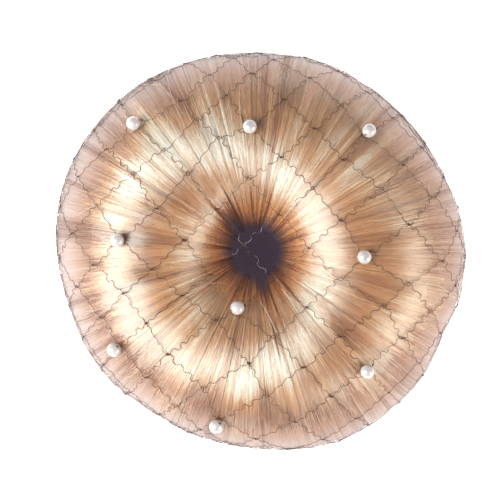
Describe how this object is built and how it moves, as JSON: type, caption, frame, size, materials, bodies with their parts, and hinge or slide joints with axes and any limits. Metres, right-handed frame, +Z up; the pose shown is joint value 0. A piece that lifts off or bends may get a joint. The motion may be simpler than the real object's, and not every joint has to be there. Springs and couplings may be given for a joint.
{
  "type": "pearl hair net on a hair bun",
  "caption": "Knotted diamond hair net of fine brown thread with pearl beads, stretched over a ring-shaped bun of golden-brown hair with a central well and a flat back.",
  "frame": {"origin": "middle of the bun's flat back, on the surface it lies on", "axes": "+Z up along the bun's axis, out of the well; +Y is the top of the picture and +X its right"},
  "size_m": [0.1176, 0.1154, 0.0473],
  "materials": {
    "hair": "glossy combed synthetic hair",
    "thread": "matt crimped thread",
    "elastic": "matt covered elastic",
    "pearl": "pearly gloss",
    "backing": "matt woven cloth"
  },
  "bodies": {
    "root": {"bun_base": "backing", "hair_bun": "hair", "net_mesh": "thread", "elastic_edge": "elastic", "pearl_1": "pearl", "pearl_2": "pearl", "pearl_3": "pearl", "pearl_4": "pearl", "pearl_5": "pearl", "pearl_6": "pearl", "pearl_7": "pearl", "pearl_8": "pearl", "pearl_9": "pearl"}
  },
  "joints": []
}
